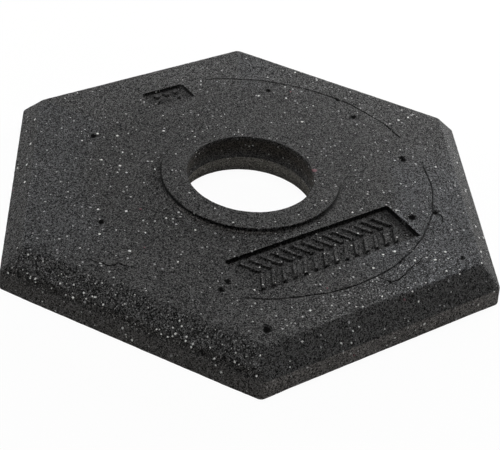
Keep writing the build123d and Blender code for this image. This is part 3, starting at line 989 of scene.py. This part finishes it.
# A line of flash: steps from point to point, reach and spacing of its jags, mean, swing and spacing of its
# waver, the power of its taper and where on a half wave that starts and ends, and its section, as shares of
# its width and height
FLASH_STEPS = 12
JAG_REACH, JAG_SPACING = 0.6 * MM, 2.5 * MM
WAVER_MEAN, WAVER_SWING, WAVER_SPACING = 0.85, 0.4, 3 * MM
TAPER_POWER, TAPER_ENDS = 0.4, (0.004, 0.996)
FLASH_SECTION = np.array([(0.5, -1.0), (0.25, 1.0), (-0.25, 1.0), (-0.5, -1.0)])


def flash_points(line, width, height, top):
    """A low ridge along given points: a four-sided section carried along a smooth line through them.

    The line is a cubic Hermite curve whose slopes are half the step between a point's neighbours, made jagged
    by noise. The section's size wavers along it and shrinks almost to a point at both ends.
    """
    knots = np.array(line, dtype=float) * MM
    slopes = np.gradient(knots, axis=0)
    at = np.linspace(0.0, len(knots) - 1.0, FLASH_STEPS * (len(knots) - 1) + 1)
    index = np.minimum(at.astype(int), len(knots) - 2)
    t = (at - index)[:, None]
    path = (
        (2 * t**3 - 3 * t**2 + 1) * knots[index]
        + (t**3 - 2 * t**2 + t) * slopes[index]
        + (3 * t**2 - 2 * t**3) * knots[index + 1]
        + (t**3 - t**2) * slopes[index + 1]
    )
    places = np.insert(path, 2, top, axis=-1)
    path += JAG_REACH * np.column_stack([lattice_noise(places, JAG_SPACING, seed) for seed in (7, 8)])
    heading = unit(np.gradient(path, axis=0))
    aside = np.column_stack([-heading[:, 1], heading[:, 0]])
    taper = np.sin(np.pi * np.linspace(*TAPER_ENDS, len(path))) ** TAPER_POWER
    taper *= WAVER_MEAN + WAVER_SWING * lattice_noise(places, WAVER_SPACING, seed=9)
    across, up = FLASH_SECTION.T
    plan = path[:, None] + aside[:, None] * (across * width * taper[:, None])[..., None]
    rise = top + up * height * taper[:, None]
    return np.concatenate([plan, rise[..., None]], axis=-1)


# Rings of a granule from its top to its underside, as shares of its oval and of its depth, the points of a
# ring, and the waves round it: their number, height and start
CHIP_RINGS = np.array([(0.02, 0.0), (0.6, 0.02), (0.95, 0.35), (0.8, 0.9), (0.02, 1.0)])
CHIP_POINTS = 12
CHIP_WAVES = ((3, 0.14, 0.7), (5, 0.08, 0.0))


def chip_points(x, y, long, short, top, depth):
    """A flat granule: rings of an oval whose radius wavers, which close almost to a point above and below."""
    turn = np.linspace(0.0, 2 * math.pi, CHIP_POINTS, endpoint=False)
    oval = 1.0 + sum(height * np.sin(number * turn + start) for number, height, start in CHIP_WAVES)
    widths, levels = CHIP_RINGS.T[..., None]
    return around(widths * oval / 2, turn, -depth * levels) * (long, short, 1.0) + (x, y, top)


# Places of new nodes in the editor: nodes in a row, and steps to the right and down
NODES_IN_ROW, NODE_STEP = 12, (200, -260)


def add(tree, kind, inputs=None, **options):
    """Adds a node, sets its options, and sets or links its inputs, given by name or number."""
    node = tree.nodes.new(kind)
    down, right = divmod(len(tree.nodes), NODES_IN_ROW)
    node.location = (NODE_STEP[0] * right, NODE_STEP[1] * down)
    for option, value in options.items():
        setattr(node, option, value)
    for socket, value in (inputs or {}).items():
        if isinstance(value, bpy.types.NodeSocket):
            tree.links.new(value, node.inputs[socket])
        else:
            node.inputs[socket].default_value = value
    return node


def calculate(tree, operation, first, second=0.0, third=0.0, clamp=False):
    """One step of arithmetic on values."""
    inputs = {0: first, 1: second, 2: third}
    return add(tree, "ShaderNodeMath", inputs, operation=operation, use_clamp=clamp).outputs[0]


def blend_colours(tree, factor, first, second, kind="MIX"):
    """A mix of two colours."""
    inputs = {0: factor, 6: first, 7: second}
    return add(tree, "ShaderNodeMix", inputs, data_type="RGBA", blend_type=kind).outputs[2]


def remap(tree, value, low, high, new_low=0.0, new_high=1.0):
    """A value carried from one range to another, clamped."""
    inputs = {"Value": value, "From Min": low, "From Max": high, "To Min": new_low, "To Max": new_high}
    return add(tree, "ShaderNodeMapRange", inputs).outputs[0]


def vector_step(tree, operation, *inputs):
    """One step of arithmetic on vectors."""
    return add(tree, "ShaderNodeVectorMath", dict(enumerate(inputs)), operation=operation).outputs


def scaled(tree, vector, length):
    """A vector counted in units of a length."""
    inputs = {0: vector, "Scale": calculate(tree, "DIVIDE", 1.0, length)}
    return add(tree, "ShaderNodeVectorMath", inputs, operation="SCALE").outputs[0]


def clouds(tree, vector, scale, detail):
    """Soft noise, as a value and a colour."""
    return add(tree, "ShaderNodeTexNoise", {"Vector": vector, "Scale": scale, "Detail": detail}).outputs


def cells(tree, vector, scale=1.0, feature="F1"):
    """Cells round scattered points: the distance to the nearest point or edge, and each cell's colour."""
    return add(tree, "ShaderNodeTexVoronoi", {"Vector": vector, "Scale": scale}, feature=feature).outputs


def warped(tree, vector, scale, detail, push):
    """A vector pushed about by soft noise."""
    noise = clouds(tree, vector, scale, detail)["Color"]
    return vector_step(tree, "MULTIPLY_ADD", noise, (push,) * 3, vector)[0]


def channels(tree, colour_socket):
    """The three parts of a colour, as random values of its cell."""
    return add(tree, "ShaderNodeSeparateColor", {0: colour_socket}).outputs


def new_group(name, values, results):
    """An empty shader node group that reads a vector and named values, and its input and output sockets."""
    tree = bpy.data.node_groups.new(name, "ShaderNodeTree")
    new_socket = tree.interface.new_socket
    new_socket("Vector", in_out="INPUT", socket_type="NodeSocketVector")
    for socket, default in values.items():
        new_socket(socket, in_out="INPUT", socket_type="NodeSocketFloat").default_value = default
    for socket in results:
        new_socket(socket, in_out="OUTPUT", socket_type="NodeSocketFloat")
    return tree, tree.nodes.new("NodeGroupInput").outputs, tree.nodes.new("NodeGroupOutput").inputs


# Ranges of a crumb's random values or distances, and the factors that they are carried to. Missing crumbs and
# the gaps between crumbs are darkened as painted shade
MISSING_CRUMBS = (0.16, 0.2, 0.05, 1.0)
PALE_CRUMBS = (0.82, 0.86, 1.0, 2.1)
CRUMB_GAPS = (0.0, 0.12, 0.3, 1.0)

# The fine crumbs: how many fit in a coarse one's width, their share of the tone, and how deep they cut
FINE_SCALE, FINE_TONE, FINE_DEPTH = 2.1, 0.25, -0.4

# Mean tone of the packed crumbs
MEAN_TONE = 0.43


def crumb_grain_group(name):
    """Packed rubber crumbs: a tone for each, some missing, with painted shade in those and in the gaps
    between; and their rounded backs.
    """
    tree, given, result = new_group(name, {"Crumb Size": 1.2 * MM}, ("Tone", "Height"))
    spot = warped(tree, scaled(tree, given["Vector"], given["Crumb Size"]), scale=0.9, detail=2.0, push=0.7)
    coarse, fine = cells(tree, spot), cells(tree, spot, FINE_SCALE)
    rims = cells(tree, spot, feature="DISTANCE_TO_EDGE")["Distance"]
    chance = channels(tree, coarse["Color"])
    coarse_tone = calculate(tree, "MULTIPLY", chance[0], 1.0 - FINE_TONE)
    tone = calculate(tree, "MULTIPLY_ADD", channels(tree, fine["Color"])[0], FINE_TONE, coarse_tone)
    whole = remap(tree, chance[1], *MISSING_CRUMBS)
    for factor in (whole, remap(tree, chance[2], *PALE_CRUMBS), remap(tree, rims, *CRUMB_GAPS)):
        tone = calculate(tree, "MULTIPLY", tone, factor)
    tree.links.new(tone, result["Tone"])
    dome = calculate(tree, "MULTIPLY", calculate(tree, "SUBTRACT", 1.0, coarse["Distance"]), whole)
    tree.links.new(calculate(tree, "MULTIPLY_ADD", fine["Distance"], FINE_DEPTH, dome), result["Height"])
    return tree


# Size of a speck by a random value, as a factor, and how sharply its mask ends
SPECK_SIZES, SPECK_EDGE = (0.0, 1.0, 0.3, 1.0), 10.0


def speck_group(name):
    """Scattered specks: round spots of uneven outline and size, at some of the places of an even spread."""
    values = {"Spacing": 6 * MM, "Size": 1 * MM, "Share": 0.5}
    tree, given, result = new_group(name, values, ("Mask", "Tone"))
    spot = warped(tree, scaled(tree, given["Vector"], given["Spacing"]), scale=5.0, detail=1.0, push=0.4)
    spread = cells(tree, spot)
    chance = channels(tree, spread["Color"])
    distance = calculate(tree, "MULTIPLY", spread["Distance"], given["Spacing"])
    growth = remap(tree, calculate(tree, "MULTIPLY", chance[1], chance[1]), *SPECK_SIZES)
    inside = calculate(tree, "SUBTRACT", calculate(tree, "MULTIPLY", given["Size"], growth), distance)
    depth = calculate(tree, "DIVIDE", inside, given["Size"])
    mask = calculate(tree, "MULTIPLY", depth, SPECK_EDGE, clamp=True)
    kept = calculate(tree, "LESS_THAN", chance[0], given["Share"])
    tree.links.new(calculate(tree, "MULTIPLY", mask, kept), result["Mask"])
    tree.links.new(chance[2], result["Tone"])
    return tree


# The ragged edge of a pit: the noise's grain and weight, the range of radii over which the pit ends, and a
# number of radii that is well past it
PIT_GRAIN, PIT_NOISE, PIT_EDGE, PIT_FAR = 1.6 * MM, 2.4, (2.05, 2.3, 1.0, 0.0), 9.0


def void_pit_shade_group(name):
    """Painted shade in ragged pits: how far a place lies from the nearest void, counted in its radius, made
    uneven.

    Height counts for a quarter, so that the whole depth of a pit is dark and the underside stays clean.
    The pits are longer from front to back than from side to side.
    """
    tree, given, result = new_group(name, {}, ("Mask",))
    flat = vector_step(tree, "MULTIPLY", given["Vector"], PIT_SCALE)[0]
    nearest = PIT_FAR
    for x, y, radius in VOIDS:
        middle = np.multiply((x, y, VOID_LEVEL), PIT_SCALE)
        distance = vector_step(tree, "DISTANCE", flat, middle)["Value"]
        nearest = calculate(tree, "MINIMUM", calculate(tree, "DIVIDE", distance, radius), nearest)
    ragged = clouds(tree, scaled(tree, given["Vector"], PIT_GRAIN), 1.0, 2.0)[0]
    uneven = calculate(tree, "MULTIPLY_ADD", ragged, PIT_NOISE, nearest)
    tree.links.new(remap(tree, uneven, *PIT_EDGE), result["Mask"])
    return tree


# Spacing and detail of the two drifts of tone: broad patches, and smaller clouds
DRIFTS = ((70 * MM, 2.0), (12 * MM, 3.0))


def tone_drift_group(name):
    """Slow change of tone over a surface: broad patches and smaller clouds, about 1."""
    tree, given, result = new_group(name, {"Strength": 0.2}, ("Factor",))
    spots = [(scaled(tree, given["Vector"], spacing), detail) for spacing, detail in DRIFTS]
    broad, small = (clouds(tree, spot, 1.0, detail)[0] for spot, detail in spots)
    swing = calculate(tree, "SUBTRACT", calculate(tree, "ADD", broad, small), 1.0)
    tree.links.new(calculate(tree, "MULTIPLY_ADD", swing, given["Strength"], 1.0), result["Factor"])
    return tree


GROUPS = {
    "Crumb Grain": crumb_grain_group,
    "Scattered Specks": speck_group,
    "Void Pit Shade": void_pit_shade_group,
    "Tone Drift": tone_drift_group,
}


def use_group(tree, name, **values):
    """A shader node group, built once, placed in a material with its own values."""
    group = bpy.data.node_groups.get(name) or GROUPS[name](name)
    inputs = {key.replace("_", " ").title(): value for key, value in values.items()}
    return add(tree, "ShaderNodeGroup", inputs, node_tree=group).outputs


def opaque(rgb):
    """A colour with full opacity."""
    return (*rgb, 1.0)


def attribute(tree, name):
    """What the mesh keeps for each of its corners."""
    return add(tree, "ShaderNodeAttribute", attribute_name=name).outputs


def empty_tree(owner):
    """The node tree of a new material or world, without nodes."""
    owner.use_nodes = True
    owner.node_tree.nodes.clear()
    return owner.node_tree


def rubber_surface(tree, base, grain, roughness, height, specular):
    """The finished surface: its colour, its roughness by the crumbs' tone, and the grain as a bump."""
    bump = add(tree, "ShaderNodeBump", {"Strength": 1.0, "Distance": height, "Height": grain["Height"]})
    inputs = {
        "Base Color": base,
        "Roughness": remap(tree, grain["Tone"], 0.0, 1.0, *roughness),
        "Normal": bump.outputs[0],
        "Specular IOR Level": specular,
    }
    shader = add(tree, "ShaderNodeBsdfPrincipled", inputs)
    add(tree, "ShaderNodeOutputMaterial", {"Surface": shader.outputs[0]})


# Levels of specks over which the skin opens. There, crumbs above the palest tone get a painted glint towards
# grey by a factor, and specks grow by another and are white at least by a share.
OPEN_SKIN = (0.6, 0.75)
PALEST = 0.7
GLINT, GROWTH, WHITENESS = (0.0, 1.4), (1.0, 1.03), (0.0, 0.9)

# Drift of tone, roughness of dark and pale crumbs, and specular level of the rubber and of the granules
RUBBER_DRIFT, RUBBER_ROUGHNESS, RUBBER_SPECULAR = 0.35, (0.85, 0.6), 0.12
GRANULE_DRIFT, GRANULE_ROUGHNESS, GRANULE_SPECULAR = 0.8, (0.75, 0.5), 0.4

# The granules' grain: size of its crumbs and its height, as shares of the rubber's, and factors of its tone
GRANULE_CRUMB, GRANULE_HEIGHT, GRANULE_TONES = 0.7, 0.5, (0.7, 1.1)


def crumb_rubber(finish, skin):
    """Dry black crumb rubber: crumbs of uneven tone with a painted glint, pale specks, pits of painted shade,
    and films of dust, grime, painted light and painted shade.
    """
    material = bpy.data.materials.new("crumb_rubber")
    tree = empty_tree(material)
    dark, light = opaque(finish.crumb_dark), opaque(finish.crumb_light)
    grey, white = opaque(finish.grey), opaque(finish.white)
    spot = add(tree, "ShaderNodeTexCoord").outputs["Object"]
    contrast, level = attribute(tree, "grain_contrast")["Fac"], attribute(tree, "speck_share")["Fac"]
    glint, growth, whitening = (remap(tree, level, *OPEN_SKIN, *ends) for ends in (GLINT, GROWTH, WHITENESS))
    grain = use_group(tree, "Crumb Grain", vector=spot, crumb_size=skin.crumb_size)
    drift = use_group(tree, "Tone Drift", vector=spot, strength=RUBBER_DRIFT)["Factor"]
    off_mean = calculate(tree, "SUBTRACT", grain["Tone"], MEAN_TONE)
    tone = calculate(tree, "MULTIPLY_ADD", off_mean, contrast, MEAN_TONE)
    base = blend_colours(tree, calculate(tree, "MULTIPLY", tone, drift), dark, light)
    past_palest = calculate(tree, "SUBTRACT", grain["Tone"], PALEST)
    # A painted glint on the palest crumbs
    base = blend_colours(tree, calculate(tree, "MULTIPLY", past_palest, glint, clamp=True), base, grey)
    # Films of dust, grime and soot, with painted light and painted shade
    base = blend_colours(tree, 1.0, base, attribute(tree, "stain_and_light")["Color"], "MULTIPLY")
    # Painted shade in the pits
    base = blend_colours(tree, use_group(tree, "Void Pit Shade", vector=spot)["Mask"], base, dark)
    speck_size = calculate(tree, "MULTIPLY", growth, skin.speck_size)
    specks = use_group(
        tree, "Scattered Specks", vector=spot, spacing=skin.speck_spacing, size=speck_size, share=level
    )
    whiteness = calculate(tree, "MAXIMUM", specks["Tone"], whitening)
    base = blend_colours(tree, specks["Mask"], base, blend_colours(tree, whiteness, grey, white))
    rubber_surface(tree, base, grain, RUBBER_ROUGHNESS, skin.grain_height, RUBBER_SPECULAR)
    return material


def granule(name, rgb, skin):
    """A matt granule: its own colour, mottled from chip to chip, with a fine grain."""
    material = bpy.data.materials.new(name)
    tree = empty_tree(material)
    spot = add(tree, "ShaderNodeTexCoord").outputs["Object"]
    grain = use_group(tree, "Crumb Grain", vector=spot, crumb_size=skin.crumb_size * GRANULE_CRUMB)
    drift = use_group(tree, "Tone Drift", vector=spot, strength=GRANULE_DRIFT)["Factor"]
    tone = calculate(tree, "MULTIPLY", remap(tree, grain["Tone"], 0.0, 1.0, *GRANULE_TONES), drift)
    shade = blend_colours(tree, 1.0, opaque(rgb), tone, "MULTIPLY")
    height = skin.grain_height * GRANULE_HEIGHT
    rubber_surface(tree, shade, grain, GRANULE_ROUGHNESS, height, GRANULE_SPECULAR)
    return material


WHITE = (1.0, 1.0, 1.0, 1.0)


def paper(stage):
    """Pale studio paper: matt to every ray, but mostly plain white to the camera, in mirrors and in glass."""
    material = bpy.data.materials.new("studio_paper")
    tree = empty_tree(material)
    path = add(tree, "ShaderNodeLightPath").outputs
    seen = calculate(tree, "MAXIMUM", path["Is Camera Ray"], path["Is Glossy Ray"])
    seen = calculate(tree, "MAXIMUM", seen, path["Is Transmission Ray"])
    factor = calculate(tree, "MULTIPLY", seen, stage.floor_white)
    matt = add(tree, "ShaderNodeBsdfDiffuse", {"Color": opaque(stage.floor)})
    white = add(tree, "ShaderNodeEmission", {"Color": WHITE, "Strength": 1.0})
    mixed = add(tree, "ShaderNodeMixShader", {0: factor, 1: matt.outputs[0], 2: white.outputs[0]})
    add(tree, "ShaderNodeOutputMaterial", {"Surface": mixed.outputs[0]})
    return material


# Angle between faces past which the block's edges are shaded crisp
CREASE = math.radians(50)


class DELINEATOR_OT_block(bpy.types.Operator):
    """Builds the moulded block's skin and puts it in place of the plain solid"""

    bl_idname = "delineator.block"
    bl_label = "Build Moulded Block"

    def execute(self, context):
        scene = context.scene
        finish, skin = scene.delineator_finish, scene.delineator_skin
        grid = BlockGrid(scene.delineator_block, scene.delineator_panels, skin)
        points = grid.points()
        for void in VOIDS:
            dent(points, grid.top, *void)
        tints = stain_and_light(SkinPlaces(points, grid), finish)
        points = roughen(points, skin)
        places = SkinPlaces(points, grid)
        faces = closed_quads(*points.shape[:2])
        piece = mesh_piece("moulded_block", points, faces, crumb_rubber(finish, skin), CREASE)
        add_values(piece, "speck_share", speck_level(places))
        add_values(piece, "stain_and_light", tints)
        add_values(piece, "grain_contrast", grain_contrast(places))
        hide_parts("rubber_base")
        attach(piece, BODY)
        return {"FINISHED"}


class DELINEATOR_OT_flash(bpy.types.Operator):
    """Builds the thin lines of flash and the crack on the top face"""

    bl_idname = "delineator.flash"
    bl_label = "Build Flash Lines"

    def execute(self, context):
        scene = context.scene
        block, skin = scene.delineator_block, scene.delineator_skin
        rubber = bpy.data.objects["moulded_block"].active_material
        for name, line in FLASH_LINES.items():
            top = block.wall_height + block.bevel_height
            rings = flash_points(line, skin.flash_width, skin.flash_height, top)
            piece = mesh_piece(name, rings, tube_faces(*rings.shape[:2]), rubber)
            # Painted shade darkens the lines of flash like shaded cracks
            add_values(piece, "stain_and_light", np.broadcast_to(scene.delineator_finish.flash_shade, rings.shape))
            add_values(piece, "grain_contrast", np.ones(rings.shape[:2]))
            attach(piece, BODY)
        return {"FINISHED"}


class DELINEATOR_OT_granules(bpy.types.Operator):
    """Gives the bonded granules their colours and grain, and builds the large red one"""

    bl_idname = "delineator.granules"
    bl_label = "Finish Granules"

    def execute(self, context):
        scene = context.scene
        finish, skin = scene.delineator_finish, scene.delineator_skin
        for node, name, rgb in (
            ("white_flecks", "white_granule", finish.white),
            ("grey_flecks", "grey_granule", finish.grey),
            ("red_flecks", "red_granule", finish.red),
        ):
            piece = frame["nodes"][node]
            piece.data.materials.clear()
            piece.data.materials.append(granule(name, rgb, skin))
        rings = chip_points(*RED_CHIP, scene.delineator_block.collar_height - skin.inset, skin.chip_depth)
        red = frame["nodes"]["red_flecks"].active_material
        chip = mesh_piece("red_chip", rings, tube_faces(*rings.shape[:2]), red)
        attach(chip, BODY)
        return {"FINISHED"}


class DELINEATOR_OT_stage(bpy.types.Operator):
    """Sets up the floor, the lamps, the white surround and the camera"""

    bl_idname = "delineator.stage"
    bl_label = "Set Up Stage"

    def execute(self, context):
        scene = context.scene
        stage = scene.delineator_stage
        self.lay_floor(stage)
        for name, (bearing, height, distance, width, power) in SOFTBOXES.items():
            lamp = bpy.data.lights.new(name, "AREA")
            lamp.energy = power
            lamp.size = width
            bearing, height = math.radians(bearing), math.radians(height)
            spot = around(distance * math.cos(height), bearing, distance * math.sin(height))
            self.hold(scene, lamp, Vector(spot), Vector())
        self.whiten_surround(scene)
        camera = bpy.data.cameras.new("photo_camera")
        camera.lens = stage.camera_lens
        spot, aim = Vector(stage.camera_place), Vector(stage.camera_aim)
        scene.camera = self.hold(scene, camera, spot, aim, stage.camera_roll)
        scene.view_settings.view_transform = "Standard"
        return {"FINISHED"}

    def lay_floor(self, stage):
        """One square of paper under the object."""
        half = stage.floor_width / 2
        corners = half * np.array([(-1, -1, 0), (1, -1, 0), (1, 1, 0), (-1, 1, 0)])
        floor = mesh_piece("studio_floor", corners, [(0, 1, 2, 3)], paper(stage))

    def hold(self, scene, data, spot, aim, roll=0.0):
        """A lamp or camera at a place, turned towards another one and about its own axis."""
        holder = bpy.data.objects.new(data.name, data)
        look = (aim - spot).to_track_quat("-Z", "Y") @ Quaternion((0.0, 0.0, 1.0), roll)
        holder.location = spot
        holder.rotation_euler = look.to_euler()
        scene.collection.objects.link(holder)
        return holder

    def whiten_surround(self, scene):
        """A surround that is white to the camera and gives no light."""
        scene.world = bpy.data.worlds.new("studio_surround")
        tree = empty_tree(scene.world)
        seen = add(tree, "ShaderNodeLightPath").outputs["Is Camera Ray"]
        white = add(tree, "ShaderNodeBackground", {"Color": WHITE, "Strength": seen})
        add(tree, "ShaderNodeOutputWorld", {"Surface": white.outputs[0]})


class DELINEATOR_PT_panel(bpy.types.Panel):
    """The base's operators and settings in the 3D view's sidebar"""

    bl_idname = "DELINEATOR_PT_panel"
    bl_label = "Delineator Base"
    bl_space_type = "VIEW_3D"
    bl_region_type = "UI"
    bl_category = "Delineator"

    def draw(self, context):
        for operator in OPERATORS:
            self.layout.operator(operator.bl_idname)
        for holder, kind in SETTINGS.items():
            box = self.layout.box()
            box.label(text=kind.__doc__)
            for name in kind.__annotations__:
                box.prop(getattr(context.scene, holder), name)


OPERATORS = (DELINEATOR_OT_block, DELINEATOR_OT_flash, DELINEATOR_OT_granules, DELINEATOR_OT_stage)
SETTINGS = {
    "delineator_block": BlockSizes,
    "delineator_panels": PanelSizes,
    "delineator_skin": SkinSizes,
    "delineator_finish": FinishColours,
    "delineator_stage": StageSettings,
}
CLASSES = (*SETTINGS.values(), *OPERATORS, DELINEATOR_PT_panel)


def register():
    """Registers the classes and gives each scene its settings."""
    for cls in CLASSES:
        bpy.utils.register_class(cls)
    for holder, kind in SETTINGS.items():
        setattr(bpy.types.Scene, holder, PointerProperty(type=kind))


def unregister():
    """Takes the settings and the classes away again."""
    for holder in SETTINGS:
        delattr(bpy.types.Scene, holder)
    for cls in reversed(CLASSES):
        bpy.utils.unregister_class(cls)


def main():
    """Registers the add-on, and builds every piece and the stage."""
    register()
    bpy.ops.delineator.block()
    bpy.ops.delineator.flash()
    bpy.ops.delineator.granules()
    bpy.ops.delineator.stage()


if __name__ == "__main__":
    main()
